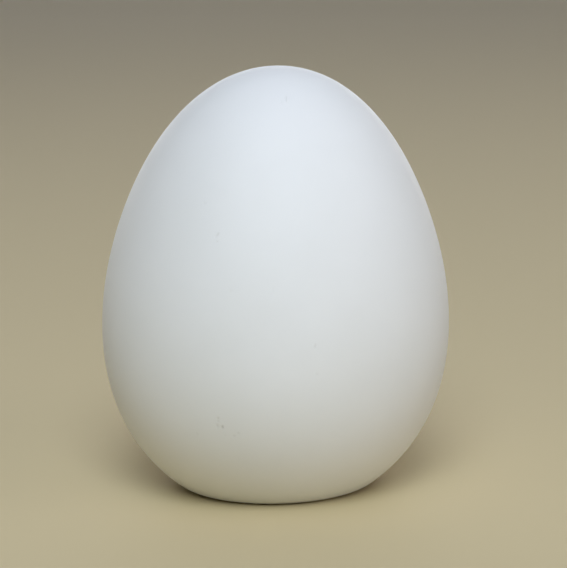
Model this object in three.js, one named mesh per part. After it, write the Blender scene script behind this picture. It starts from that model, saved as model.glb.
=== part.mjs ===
// A white duck egg that stands upright, blunt end down, on a small flat foot.
// Millimetres, +Z up. The origin is the middle of the foot, and -Y faces the viewer.
import * as THREE from "three";

// Driving dimensions
const FULL_LENGTH = 62; // pole to pole, as if the blunt end were whole
const MAX_DIAMETER = 48; // across the widest ring
const FOOT_CUT = 4; // how much of the full length the flat foot takes away
const FOOT_EDGE_RADIUS = 3.5; // rounding where the side runs into the foot
const AXIS_LEAN = 0.011; // how far the axis runs towards +X for each millimetre of height
const TIP_DRIFT = 0.4; // how much further the tip strays towards +X
const TIP_DRIFT_POWER = 4; // keeps the drift near the tip

// How the outline departs from an ellipse
const TAPER = -0.15; // draws the tip in and fills the blunt end out
const FULLNESS = 0.03; // fills both ends out alike
const SHOULDER = 0.0475; // fills the shoulder out and draws the blunt end in

// Facets
const STEPS_AROUND = 72;
const STEPS_UP_SIDE = 36;
const STEPS_ON_FOOT_EDGE = 6;

// How finely the outline is searched
const BREADTH_SAMPLES = 1000;
const SLOPE_STEP = 1e-4;
const BISECTIONS = 50;

const QUARTER_TURN = Math.PI / 2;
const HEIGHT = FULL_LENGTH - FOOT_CUT;

const shellWhite = new THREE.MeshStandardMaterial({
  name: "eggshell",
  color: new THREE.Color(0.85, 0.855, 0.84),
  roughness: 0.6,
  metalness: 0,
});

// A bird's egg is an ellipse whose breadth is swelled by powers of the height along the axis.
// The angle runs from a quarter turn below the middle, the blunt pole, to a quarter turn above it, the tip.
function relativeBreadth(angle) {
  const s = Math.sin(angle);
  return Math.cos(angle) * (1 + TAPER * s + FULLNESS * s ** 2 + SHOULDER * s ** 3);
}

function widestBreadth() {
  let widest = 0;
  for (let i = 0; i <= BREADTH_SAMPLES; i++) {
    const angle = THREE.MathUtils.lerp(-QUARTER_TURN, QUARTER_TURN, i / BREADTH_SAMPLES);
    widest = Math.max(widest, relativeBreadth(angle));
  }
  return widest;
}

const breadthScale = MAX_DIAMETER / 2 / widestBreadth();

// A point of the egg's outline: x is the distance from the axis, y the height above the foot.
function outlineAt(angle) {
  const radius = breadthScale * relativeBreadth(angle);
  const height = (FULL_LENGTH / 2) * (1 + Math.sin(angle)) - FOOT_CUT;
  return new THREE.Vector2(radius, height);
}

function inwardNormalAt(angle) {
  const along = outlineAt(angle + SLOPE_STEP).sub(outlineAt(angle - SLOPE_STEP)).normalize();
  return new THREE.Vector2(-along.y, along.x);
}

function footEdgeCentreAt(angle) {
  return outlineAt(angle).addScaledVector(inwardNormalAt(angle), FOOT_EDGE_RADIUS);
}

// The angle where the side runs into the foot's rounded edge.
// There the edge's centre, square to the side, is one edge radius above the foot.
function footEdgeAngle() {
  let low = -QUARTER_TURN;
  let high = 0;
  for (let i = 0; i < BISECTIONS; i++) {
    const middle = (low + high) / 2;
    if (footEdgeCentreAt(middle).y < FOOT_EDGE_RADIUS) low = middle;
    else high = middle;
  }
  return high;
}

// Half of the egg's section: along the foot, round its edge and up the side to the tip.
function eggProfile() {
  const sideStart = footEdgeAngle();
  const centre = footEdgeCentreAt(sideStart);
  const outward = inwardNormalAt(sideStart).negate();
  const edgeEnd = Math.atan2(outward.y, outward.x);

  const points = [new THREE.Vector2(0, 0)];
  for (let i = 0; i < STEPS_ON_FOOT_EDGE; i++) {
    const turn = THREE.MathUtils.lerp(-QUARTER_TURN, edgeEnd, i / STEPS_ON_FOOT_EDGE);
    const spoke = new THREE.Vector2(Math.cos(turn), Math.sin(turn));
    points.push(centre.clone().addScaledVector(spoke, FOOT_EDGE_RADIUS));
  }
  for (let i = 0; i < STEPS_UP_SIDE; i++) {
    points.push(outlineAt(THREE.MathUtils.lerp(sideStart, QUARTER_TURN, i / STEPS_UP_SIDE)));
  }
  points.push(new THREE.Vector2(0, HEIGHT));
  return points;
}

// An egg is never quite true: its level rings slide sideways as they go up.
function leanToTheSide(geometry) {
  const position = geometry.getAttribute("position");
  for (let i = 0; i < position.count; i++) {
    const z = position.getZ(i);
    const slide = AXIS_LEAN * z + TIP_DRIFT * (z / HEIGHT) ** TIP_DRIFT_POWER;
    position.setX(i, position.getX(i) + slide);
  }
  geometry.computeVertexNormals();
}

function makeEgg() {
  const geometry = new THREE.LatheGeometry(eggProfile(), STEPS_AROUND);
  geometry.rotateX(QUARTER_TURN);
  leanToTheSide(geometry);
  const egg = new THREE.Mesh(geometry, shellWhite);
  egg.name = "egg";
  return egg;
}

const duckEgg = new THREE.Group();
duckEgg.name = "duck_egg";
duckEgg.add(makeEgg());

export default duckEgg;
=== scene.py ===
# White duck egg that stands blunt end down on its flat foot: the looks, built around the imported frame
import random
from math import asin, atan2, cos, pi, radians, sin, sqrt

import bmesh
import bpy
from mathutils import Matrix, Vector, kdtree, noise


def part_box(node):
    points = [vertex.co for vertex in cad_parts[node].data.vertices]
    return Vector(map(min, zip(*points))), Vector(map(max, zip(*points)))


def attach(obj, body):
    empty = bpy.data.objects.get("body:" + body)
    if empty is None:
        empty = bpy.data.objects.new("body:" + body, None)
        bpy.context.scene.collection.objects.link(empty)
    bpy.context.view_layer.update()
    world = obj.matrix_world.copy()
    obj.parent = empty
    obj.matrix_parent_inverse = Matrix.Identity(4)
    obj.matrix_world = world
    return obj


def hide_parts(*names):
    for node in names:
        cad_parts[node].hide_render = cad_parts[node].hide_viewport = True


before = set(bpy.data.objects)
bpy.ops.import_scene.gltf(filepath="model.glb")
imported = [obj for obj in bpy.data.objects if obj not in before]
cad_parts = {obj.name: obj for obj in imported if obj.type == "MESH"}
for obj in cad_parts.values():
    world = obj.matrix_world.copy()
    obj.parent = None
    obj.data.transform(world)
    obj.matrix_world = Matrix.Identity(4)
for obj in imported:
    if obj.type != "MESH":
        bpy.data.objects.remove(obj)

scene = bpy.context.scene
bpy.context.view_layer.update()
eggLow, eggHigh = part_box("egg")
eggHeight = eggHigh.z - eggLow.z
eggBreadth = eggHigh.y - eggLow.y
print(f"frame loaded: the egg is {eggHeight * 1000:.1f} mm tall and {eggBreadth * 1000:.1f} mm broad")


# the form, in metres: the solid's own outline, only finer
eggForm = {
    "footCut": 0.004,  # what the flat foot takes off the blunt end
    "footEdge": 0.0035,  # rounding where the side runs into the foot
    "taper": -0.15,  # draws the tip in and fills the blunt end out
    "fullness": 0.03,  # fills both ends out alike
    "shoulder": 0.0475,  # fills the shoulder out and draws the blunt end in
    "lean": 0.011,  # how far the axis runs towards +X for each metre of height
    "tipDrift": 0.0004,  # how much further the tip strays towards +X
    "driftPower": 4,  # keeps the drift near the tip
    "stepsAround": 240,
    "stepsUpSide": 120,
    "stepsOnFootEdge": 12,
    "mergeWithin": 1e-7,  # joins the points that meet on the axis
    "waveHeight": 0.00002,  # slow waves that a thumb can just feel
    "waveLength": 0.012,
}
fullLength = eggHeight + eggForm["footCut"]
eggMiddle = fullLength / 2 - eggForm["footCut"]  # height of the whole egg's middle


# breadth of a whole egg along its axis, from -1 at the blunt pole to +1 at the tip
def relativeBreadth(along):
    swell = 1 + eggForm["taper"] * along + eggForm["fullness"] * along**2 + eggForm["shoulder"] * along**3
    return sqrt(max(0.0, 1 - along * along)) * swell


# the greatest of those breadths, looked for in small steps
def findWidest(steps=1000):
    return max(relativeBreadth(2 * i / steps - 1) for i in range(steps + 1))


widestBreadth = findWidest()


def radiusAt(z):
    return eggBreadth / 2 * relativeBreadth((z - eggMiddle) / (fullLength / 2)) / widestBreadth


# how far the leaning axis has moved towards +X
def slideAt(z):
    return eggForm["lean"] * z + eggForm["tipDrift"] * (z / eggHeight) ** eggForm["driftPower"]


# square to the side, as run outwards and rise
def outwardAt(z, step=1e-6):
    slope = (radiusAt(z + step) - radiusAt(z - step)) / (2 * step)
    return Vector((1, -slope)).normalized()


# height at which the side runs into the foot's round edge, somewhere in the lowest quarter
def findSideBottom(halvings=40):
    low, high = 0.0, eggHeight / 4
    for _ in range(halvings):
        z = (low + high) / 2
        if z - outwardAt(z).y * eggForm["footEdge"] < eggForm["footEdge"]:
            low = z
        else:
            high = z
    return high


sideBottom = findSideBottom()


# half of the section as radius and height: along the foot, round its edge and up the side
def eggSection():
    edge = eggForm["footEdge"]
    outward = outwardAt(sideBottom)
    edgeMiddle = radiusAt(sideBottom) - outward.x * edge
    edgeEnd = atan2(outward.y, outward.x)
    section = [(0.0, 0.0)]
    for i in range(eggForm["stepsOnFootEdge"]):
        turn = -pi / 2 + (edgeEnd + pi / 2) * i / eggForm["stepsOnFootEdge"]
        section.append((edgeMiddle + edge * cos(turn), edge + edge * sin(turn)))
    # even steps of angle crowd the rings towards the tip
    start = asin((sideBottom - eggMiddle) / (fullLength / 2))
    for i in range(eggForm["stepsUpSide"]):
        z = eggMiddle + fullLength / 2 * sin(start + (pi / 2 - start) * i / eggForm["stepsUpSide"])
        section.append((radiusAt(z), z))
    section.append((0.0, eggHeight))
    return section


# marks in the skin: small dents and chips, darkened partly with a little dust and partly with painted shade
# of the dent; sizes in metres
# a mark lies so far up and turned so many degrees from the front, to the right; tilt leans its length over
flaws = {
    "marks": [
        dict(up=0.0543, turn=7.5, wide=0.0003, long=0.0022, tilt=8, deep=4e-5, dustAndShade=0.10),
        dict(up=0.0539, turn=4, wide=0.0004, long=0.0012, tilt=0, deep=2e-5, dustAndShade=0.03),
        dict(up=0.0416, turn=-27.7, wide=0.0008, long=0.0008, tilt=0, deep=3e-5, dustAndShade=0.04),
        dict(up=0.0378, turn=-20.8, wide=0.0005, long=0.0011, tilt=35, deep=6e-5, dustAndShade=0.12),
        dict(up=0.0370, turn=-20.5, wide=0.0004, long=0.0004, tilt=0, deep=3e-5, dustAndShade=0.08),
        dict(up=0.0309, turn=-14.5, wide=0.0006, long=0.0006, tilt=0, deep=2e-5, dustAndShade=0.03),
        dict(up=0.0311, turn=-1, wide=0.0005, long=0.0014, tilt=5, deep=2e-5, dustAndShade=0.02),
        dict(up=0.0238, turn=11.8, wide=0.0005, long=0.0010, tilt=15, deep=4e-5, dustAndShade=0.08),
        dict(up=0.0201, turn=12.3, wide=0.0006, long=0.0006, tilt=0, deep=2e-5, dustAndShade=0.03),
        dict(up=0.0142, turn=-19.4, wide=0.0006, long=0.0006, tilt=0, deep=3e-5, dustAndShade=0.14),
        dict(up=0.0138, turn=-19.5, wide=0.0006, long=0.0005, tilt=0, deep=3e-5, dustAndShade=0.10),
        dict(up=0.0131, turn=-19.9, wide=0.0006, long=0.0009, tilt=0, deep=4e-5, dustAndShade=0.07),
        dict(up=0.0130, turn=-18.2, wide=0.0005, long=0.0008, tilt=10, deep=4e-5, dustAndShade=0.26),
        dict(up=0.0118, turn=-17.8, wide=0.0005, long=0.0005, tilt=0, deep=2e-5, dustAndShade=0.05),
        dict(up=0.0118, turn=-14.6, wide=0.0007, long=0.0007, tilt=0, deep=2e-5, dustAndShade=0.07),
        dict(up=0.0122, turn=-13.1, wide=0.0006, long=0.0006, tilt=0, deep=2e-5, dustAndShade=0.06),
        dict(up=0.0117, turn=-27.9, wide=0.0004, long=0.0008, tilt=0, deep=2e-5, dustAndShade=0.06),
    ],
    # the sides and back have others, drawn at random between these limits
    "far": {
        "count": 26,
        "seed": 11,
        "upShare": (0.08, 0.93),  # of the egg's height
        "turn": (75, 285),
        "wide": (0.0004, 0.0009),
        "longShare": (1.0, 2.2),  # of the mark's own width
        "tilt": (-60, 60),
        "deep": (1e-5, 4e-5),
        # darkness of each mark: dust, and painted shade of the dent
        "dustAndShade": (0.02, 0.10),
    },
    "finerRounds": 3,  # how often the edges of the faces round a mark are halved
}


def farMarks():
    far = flaws["far"]
    draw = random.Random(far["seed"])
    for _ in range(far["count"]):
        wide = draw.uniform(*far["wide"])
        yield dict(
            up=draw.uniform(*far["upShare"]) * eggHeight,
            turn=draw.uniform(*far["turn"]),
            wide=wide,
            long=wide * draw.uniform(*far["longShare"]),
            tilt=draw.uniform(*far["tilt"]),
            deep=draw.uniform(*far["deep"]),
            dustAndShade=draw.uniform(*far["dustAndShade"]),
        )


allMarks = flaws["marks"] + list(farMarks())


# a place on the upright egg's skin, with its directions across, out and up the side
def skinFrame(z, turn, tilt=0.0):
    around, over = radians(turn), radians(tilt)
    radial = Vector((sin(around), -cos(around), 0))
    square = outwardAt(z)
    outward = radial * square.x + Vector((0, 0, square.y))
    level = Vector((cos(around), sin(around), 0))
    upSide = outward.cross(level)
    across = level * cos(over) - upSide * sin(over)
    along = upSide * cos(over) + level * sin(over)
    return radial * radiusAt(z) + Vector((0, 0, z)), across, outward, along


# a point of the upright egg, moved over with the leaning axis
def leaned(point):
    return point + Vector((slideAt(point.z), 0, 0))


def pointFinder(points):
    finder = kdtree.KDTree(len(points))
    for index, point in enumerate(points):
        finder.insert(point, index)
    finder.balance()
    return finder


# finer faces where a mark will be pressed in
def refineMarks(bm):
    faceSize = pi * eggBreadth / eggForm["stepsAround"]
    for _ in range(flaws["finerRounds"]):
        faces = bm.faces[:]
        finder = pointFinder([face.calc_center_median() for face in faces])
        near = set()
        for mark in allMarks:
            centre = skinFrame(mark["up"], mark["turn"])[0]
            near.update(index for _, index, _ in finder.find_range(centre, mark["long"] / 2 + faceSize))
        edges = dict.fromkeys(edge for index in sorted(near) for edge in faces[index].edges)
        bmesh.ops.subdivide_edges(bm, edges=list(edges), cuts=1, use_grid_fill=True, use_single_edge=True)
        faceSize /= 2
    # faces left with more than four sides become fans, so that none splits into slivers
    bmesh.ops.poke(bm, faces=[face for face in bm.faces if len(face.verts) > 4])


# puts every vertex of the side back on the outline
def roundUp(bm):
    for vert in bm.verts:
        out = vert.co.xy.length
        if vert.co.z > sideBottom and out > 0:
            vert.co.xy *= radiusAt(vert.co.z) / out


# dents that are deepest in the middle and run out smoothly at the rim
def pressMarks(bm):
    verts = bm.verts[:]
    finder = pointFinder([vert.co for vert in verts])
    for mark in allMarks:
        centre, across, outward, along = skinFrame(mark["up"], mark["turn"], mark["tilt"])
        for place, index, _ in finder.find_range(centre, mark["long"]):
            offset = place - centre
            aside = offset.dot(across) * 2 / mark["wide"]
            endways = offset.dot(along) * 2 / mark["long"]
            left = 1 - aside * aside - endways * endways
            if left > 0:
                verts[index].co -= outward * mark["deep"] * left * left


# slow waves, fading out towards the foot so that it stays flat
def addWaves(bm):
    for vert in bm.verts:
        fade = min(1.0, max(0.0, vert.co.z / sideBottom - 1))
        if fade:
            height = eggForm["waveHeight"] * noise.noise(vert.co / eggForm["waveLength"])
            vert.co += vert.normal * height * fade


def buildEgg():
    bm = bmesh.new()
    last = None
    for radius, z in eggSection():
        vert = bm.verts.new((radius, 0, z))
        if last:
            bm.edges.new((last, vert))
        last = vert
    bmesh.ops.spin(
        bm, geom=bm.verts[:] + bm.edges[:], cent=(0, 0, 0), axis=(0, 0, 1),
        angle=2 * pi, steps=eggForm["stepsAround"], use_merge=True,
    )
    bmesh.ops.remove_doubles(bm, verts=bm.verts, dist=eggForm["mergeWithin"])
    bmesh.ops.recalc_face_normals(bm, faces=bm.faces)
    refineMarks(bm)
    roundUp(bm)
    pressMarks(bm)
    bm.normal_update()
    addWaves(bm)
    for vert in bm.verts:
        vert.co = leaned(vert.co)

    mesh = bpy.data.meshes.new("egg_shell")
    bm.to_mesh(mesh)
    bm.free()
    mesh.polygons.foreach_set("use_smooth", [True] * len(mesh.polygons))
    piece = bpy.data.objects.new("egg_shell", mesh)
    scene.collection.objects.link(piece)
    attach(piece, "root")
    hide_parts("egg")
    return piece


eggPiece = buildEgg()
print("egg modelled:", len(eggPiece.data.polygons), "faces")


# the finish: chalky white, faintly mottled, with fine tooth and pores; sizes in metres
eggFinish = {
    "paleWhite": (0.862, 0.867, 0.853, 1),
    "greyWhite": (0.838, 0.843, 0.826, 1),
    "mottleSize": 0.012,
    "mottleDetail": 4.0,
    "roughness": (0.56, 0.70),  # of the smoothest and the roughest patches
    "patchSize": 0.0024,
    "fineDetail": 3.0,  # of the patches and the tooth
    "noiseSpan": (0.3, 0.7),  # most of a noise lies between these
    "gloss": 0.3,
    "toothSize": 0.0004,
    "toothDepth": 0.000004,
    "poreSpacing": 0.0011,
    "poreDepth": 0.000006,
    "poreShare": 0.16,  # part of the spacing that a pore fills
    # grey of the marks: dust, and painted shade standing in for the dents' shaded walls
    "dustAndShadeColour": (0.26, 0.23, 0.17, 1),
    "dustAndShadeRag": 0.00025,  # how ragged the edge of the dust and painted shade is
    "dustAndShadeFull": 0.8,  # part of the way in from its rim at which a spot of dust and painted shade is strongest
    "footColour": (0.76, 0.745, 0.70, 1),
    "footWearTop": 0.0009,
    "footWearSpan": (0.25, 0.75),  # values of the mottle over which the wear grows to the full
    "footWearLeast": 0.3,  # share of the wear where the mottle is lowest
    "sandingDepth": 0.00001,
    "sandingStrokes": (60, 2400, 60),  # to the metre along X, Y and Z, so they are long along X
}


def addNode(tree, kind, links=None, **settings):
    node = tree.nodes.new(kind)
    for name, value in settings.items():
        setattr(node, name, value)
    for socket, value in (links or {}).items():
        if isinstance(value, bpy.types.NodeSocket):
            tree.links.new(value, node.inputs[socket])
        else:
            node.inputs[socket].default_value = value
    return node


def addNoise(tree, coords, size, detail=2.0):
    return addNode(tree, "ShaderNodeTexNoise", {"Vector": coords, "Scale": 1 / size, "Detail": detail})


def addRange(tree, value, fromMin, fromMax, toMin, toMax, curve="LINEAR"):
    limits = {"Value": value, "From Min": fromMin, "From Max": fromMax, "To Min": toMin, "To Max": toMax}
    return addNode(tree, "ShaderNodeMapRange", limits, interpolation_type=curve).outputs["Result"]


def addMath(tree, operation, first, second):
    return addNode(tree, "ShaderNodeMath", {0: first, 1: second}, operation=operation).outputs["Value"]


# the colour sockets go by number, because the plain ones have the same names
def addColourMix(tree, factor, first, second):
    return addNode(tree, "ShaderNodeMix", {0: factor, 6: first, 7: second}, data_type="RGBA").outputs[2]


# relief so many metres deep, over any that is there already
def addBump(tree, height, depth, under=None):
    bump = addNode(tree, "ShaderNodeBump", {"Height": height, "Distance": depth})
    if under:
        tree.links.new(under, bump.inputs["Normal"])
    return bump.outputs["Normal"]


# a soft-edged spot on the skin, strongest in its middle
def addSpot(tree, coords, place, turned, size, strength):
    moved = addNode(
        tree, "ShaderNodeMapping",
        {"Vector": coords, "Location": place, "Rotation": turned, "Scale": size}, vector_type="TEXTURE",
    )
    ball = addNode(
        tree, "ShaderNodeTexGradient", {"Vector": moved.outputs["Vector"]}, gradient_type="SPHERICAL",
    )
    return addRange(tree, ball.outputs["Fac"], 0.0, eggFinish["dustAndShadeFull"], 0.0, strength, "SMOOTHSTEP")


# coordinates that waver about the true ones, to fray the edges of what is laid on them
def raggedCoords(tree, coords, size):
    noiseMiddle = (0.5, 0.5, 0.5)
    waver = addNoise(tree, coords, size).outputs["Color"]
    centred = addNode(tree, "ShaderNodeVectorMath", {0: waver, 1: noiseMiddle}, operation="SUBTRACT")
    ragged = addNode(
        tree, "ShaderNodeVectorMath",
        {0: centred.outputs["Vector"], 1: (size, size, size), 2: coords}, operation="MULTIPLY_ADD",
    )
    return ragged.outputs["Vector"]


# how dark each mark is painted, from a spot in it: partly dust, partly painted shade of the dent
def markDustAndShade(tree, coords):
    ragged = raggedCoords(tree, coords, eggFinish["dustAndShadeRag"])
    dustAndShade = None
    for mark in allMarks:
        centre, across, outward, along = skinFrame(mark["up"], mark["turn"], mark["tilt"])
        turned = Matrix((across, -outward, along)).transposed().to_euler()
        size = (mark["wide"] / 2, mark["wide"] / 2, mark["long"] / 2)
        spot = addSpot(tree, ragged, leaned(centre), turned, size, mark["dustAndShade"])
        dustAndShade = addMath(tree, "MAXIMUM", dustAndShade, spot) if dustAndShade else spot
    return dustAndShade


# a faint mottle under the dust and painted shade in the marks, and the worn foot
def eggColour(tree, coords, worn):
    mottle = addNoise(tree, coords, eggFinish["mottleSize"], eggFinish["mottleDetail"]).outputs["Fac"]
    paleness = addRange(tree, mottle, *eggFinish["noiseSpan"], 0.0, 1.0)
    skin = addColourMix(tree, paleness, eggFinish["greyWhite"], eggFinish["paleWhite"])
    # the marks painted darker: dust, and painted shade in the dents
    dustyAndShaded = addColourMix(tree, markDustAndShade(tree, coords), skin, eggFinish["dustAndShadeColour"])
    thinning = addRange(tree, mottle, *eggFinish["footWearSpan"], eggFinish["footWearLeast"], 1.0)
    patchy = addMath(tree, "MULTIPLY", worn, thinning)
    return addColourMix(tree, patchy, dustyAndShaded, eggFinish["footColour"])


# dry and chalky, smoother in some patches
def eggRoughness(tree, coords):
    patches = addNoise(tree, coords, eggFinish["patchSize"], eggFinish["fineDetail"]).outputs["Fac"]
    return addRange(tree, patches, *eggFinish["noiseSpan"], *eggFinish["roughness"])


# tooth, then pores, then the sanding of the foot
def eggRelief(tree, coords, worn):
    tooth = addNoise(tree, coords, eggFinish["toothSize"], eggFinish["fineDetail"]).outputs["Fac"]
    toothBump = addBump(tree, tooth, eggFinish["toothDepth"])
    cells = addNode(tree, "ShaderNodeTexVoronoi", {"Vector": coords, "Scale": 1 / eggFinish["poreSpacing"]})
    pores = addRange(tree, cells.outputs["Distance"], 0.0, eggFinish["poreShare"], 0.0, 1.0, "SMOOTHSTEP")
    poreBump = addBump(tree, pores, eggFinish["poreDepth"], toothBump)
    stretched = addNode(tree, "ShaderNodeMapping", {"Vector": coords, "Scale": eggFinish["sandingStrokes"]})
    strokes = addNoise(tree, stretched.outputs["Vector"], 1.0).outputs["Fac"]
    sanded = addMath(tree, "MULTIPLY", strokes, worn)
    return addBump(tree, sanded, eggFinish["sandingDepth"], poreBump)


def eggshellMaterial():
    material = bpy.data.materials.new("eggshell")
    material.use_nodes = True
    tree = material.node_tree
    shader = tree.nodes["Principled BSDF"]
    coords = addNode(tree, "ShaderNodeTexCoord").outputs["Object"]
    height = addNode(tree, "ShaderNodeSeparateXYZ", {"Vector": coords}).outputs["Z"]
    worn = addRange(tree, height, 0.0, eggFinish["footWearTop"], 1.0, 0.0, "SMOOTHSTEP")
    tree.links.new(eggColour(tree, coords, worn), shader.inputs["Base Color"])
    tree.links.new(eggRoughness(tree, coords), shader.inputs["Roughness"])
    tree.links.new(eggRelief(tree, coords, worn), shader.inputs["Normal"])
    shader.inputs["Specular IOR Level"].default_value = eggFinish["gloss"]
    return material


eggPiece.data.materials.append(eggshellMaterial())
print("eggshell finish made")


# plain pale floor that fills the picture
floorLook = {"radius": 4.0, "sides": 128, "colour": (0.61, 0.51, 0.30, 1), "roughness": 0.8, "gloss": 0.2}


def buildFloor():
    bm = bmesh.new()
    bmesh.ops.create_circle(bm, cap_ends=True, segments=floorLook["sides"], radius=floorLook["radius"])
    mesh = bpy.data.meshes.new("studio_floor")
    bm.to_mesh(mesh)
    bm.free()
    material = bpy.data.materials.new("pale_floor")
    material.use_nodes = True
    shader = material.node_tree.nodes["Principled BSDF"]
    shader.inputs["Base Color"].default_value = floorLook["colour"]
    shader.inputs["Roughness"].default_value = floorLook["roughness"]
    shader.inputs["Specular IOR Level"].default_value = floorLook["gloss"]
    mesh.materials.append(material)
    floor = bpy.data.objects.new("studio_floor", mesh)
    scene.collection.objects.link(floor)


buildFloor()


# soft round lamps, placed by how high and how far round to the right of the viewer they stand
studioLights = {
    "distance": 1.2,
    "across": 0.72,
    "lamps": {
        "front_lamp": {"rise": 45, "turn": 0, "watts": 8.75, "colour": (0.87, 1.0, 1.14)},
        "right_lamp": {"rise": 20, "turn": 60, "watts": 1.9, "colour": (1.05, 1.0, 1.12)},
        "top_lamp": {"rise": 70, "turn": 0, "watts": 2.15, "colour": (1.06, 1.0, 1.15)},
    },
    "airColour": (1, 1, 1, 1),
    "airStrength": 0.12,  # even glow from all round
    "backStrength": 8.0,  # glow from low down behind the egg
    "backBelow": 30,  # degrees that the glow's middle lies below the horizon
    "backFrom": 0.5,  # cosine of the angle from that middle at which the glow begins
}
eggCentre = Vector((0, 0, eggHeight / 2))


def buildLamps():
    for name, look in studioLights["lamps"].items():
        rise, turn = radians(look["rise"]), radians(look["turn"])
        away = Vector((sin(turn) * cos(rise), -cos(turn) * cos(rise), sin(rise)))
        lamp = bpy.data.lights.new(name, "AREA")
        lamp.shape = "DISK"
        lamp.size = studioLights["across"]
        lamp.energy = look["watts"]
        lamp.color = look["colour"]
        holder = bpy.data.objects.new(name, lamp)
        holder.location = eggCentre + away * studioLights["distance"]
        holder.rotation_euler = (-away).to_track_quat("-Z", "Y").to_euler()
        holder.visible_camera = False
        scene.collection.objects.link(holder)


# even air, with a glow behind the egg that lights its rim
def buildAir():
    world = bpy.data.worlds.new("studio_air")
    world.use_nodes = True
    tree = world.node_tree
    background = tree.nodes["Background"]
    background.inputs["Color"].default_value = studioLights["airColour"]
    towards = addNode(tree, "ShaderNodeTexCoord").outputs["Generated"]
    below = radians(studioLights["backBelow"])
    glowMiddle = (0, cos(below), -sin(below))
    behind = addNode(tree, "ShaderNodeVectorMath", {0: towards, 1: glowMiddle}, operation="DOT_PRODUCT")
    glow = addRange(
        tree, behind.outputs["Value"], studioLights["backFrom"], 1.0,
        studioLights["airStrength"], studioLights["backStrength"], "SMOOTHSTEP",
    )
    # the camera sees the even air alone, as it doesn't see the lamps
    seen = addNode(tree, "ShaderNodeLightPath").outputs["Is Camera Ray"]
    shown = addRange(tree, seen, 0.0, 1.0, glow, studioLights["airStrength"])
    tree.links.new(shown, background.inputs["Strength"])
    scene.world = world


buildLamps()
buildAir()


# where the picture is taken from: degrees and metres, and the lens in millimetres on a 36 mm sensor
cameraView = {
    "distance": 0.280,
    "lookDown": 9.5,
    "roll": 1.2,
    "lens": 128.25,
    "sensor": 36,
    "nearest": 0.01,  # what lies between these two distances is drawn
    "farthest": 20,
    "aimRight": 0.00146,  # the picture's middle, beside and below the egg's own
    "aimDown": 0.00110,
}


def buildCamera():
    lookDown = radians(cameraView["lookDown"])
    forward = Vector((0, cos(lookDown), -sin(lookDown)))
    right = Vector((1, 0, 0))
    up = right.cross(forward)
    stand = eggCentre - forward * cameraView["distance"]
    aim = eggCentre + right * cameraView["aimRight"] - up * cameraView["aimDown"]
    level = (aim - stand).to_track_quat("-Z", "Y").to_matrix()
    turned = level @ Matrix.Rotation(-radians(cameraView["roll"]), 3, "Z")

    lens = bpy.data.cameras.new("photo_view")
    lens.lens = cameraView["lens"]
    lens.sensor_width = cameraView["sensor"]
    lens.clip_start = cameraView["nearest"]
    lens.clip_end = cameraView["farthest"]
    camera = bpy.data.objects.new("photo_view", lens)
    camera.matrix_world = Matrix.Translation(stand) @ turned.to_4x4()
    scene.collection.objects.link(camera)
    scene.camera = camera


buildCamera()
scene.view_settings.view_transform = "Standard"
print("floor, lights and camera set")
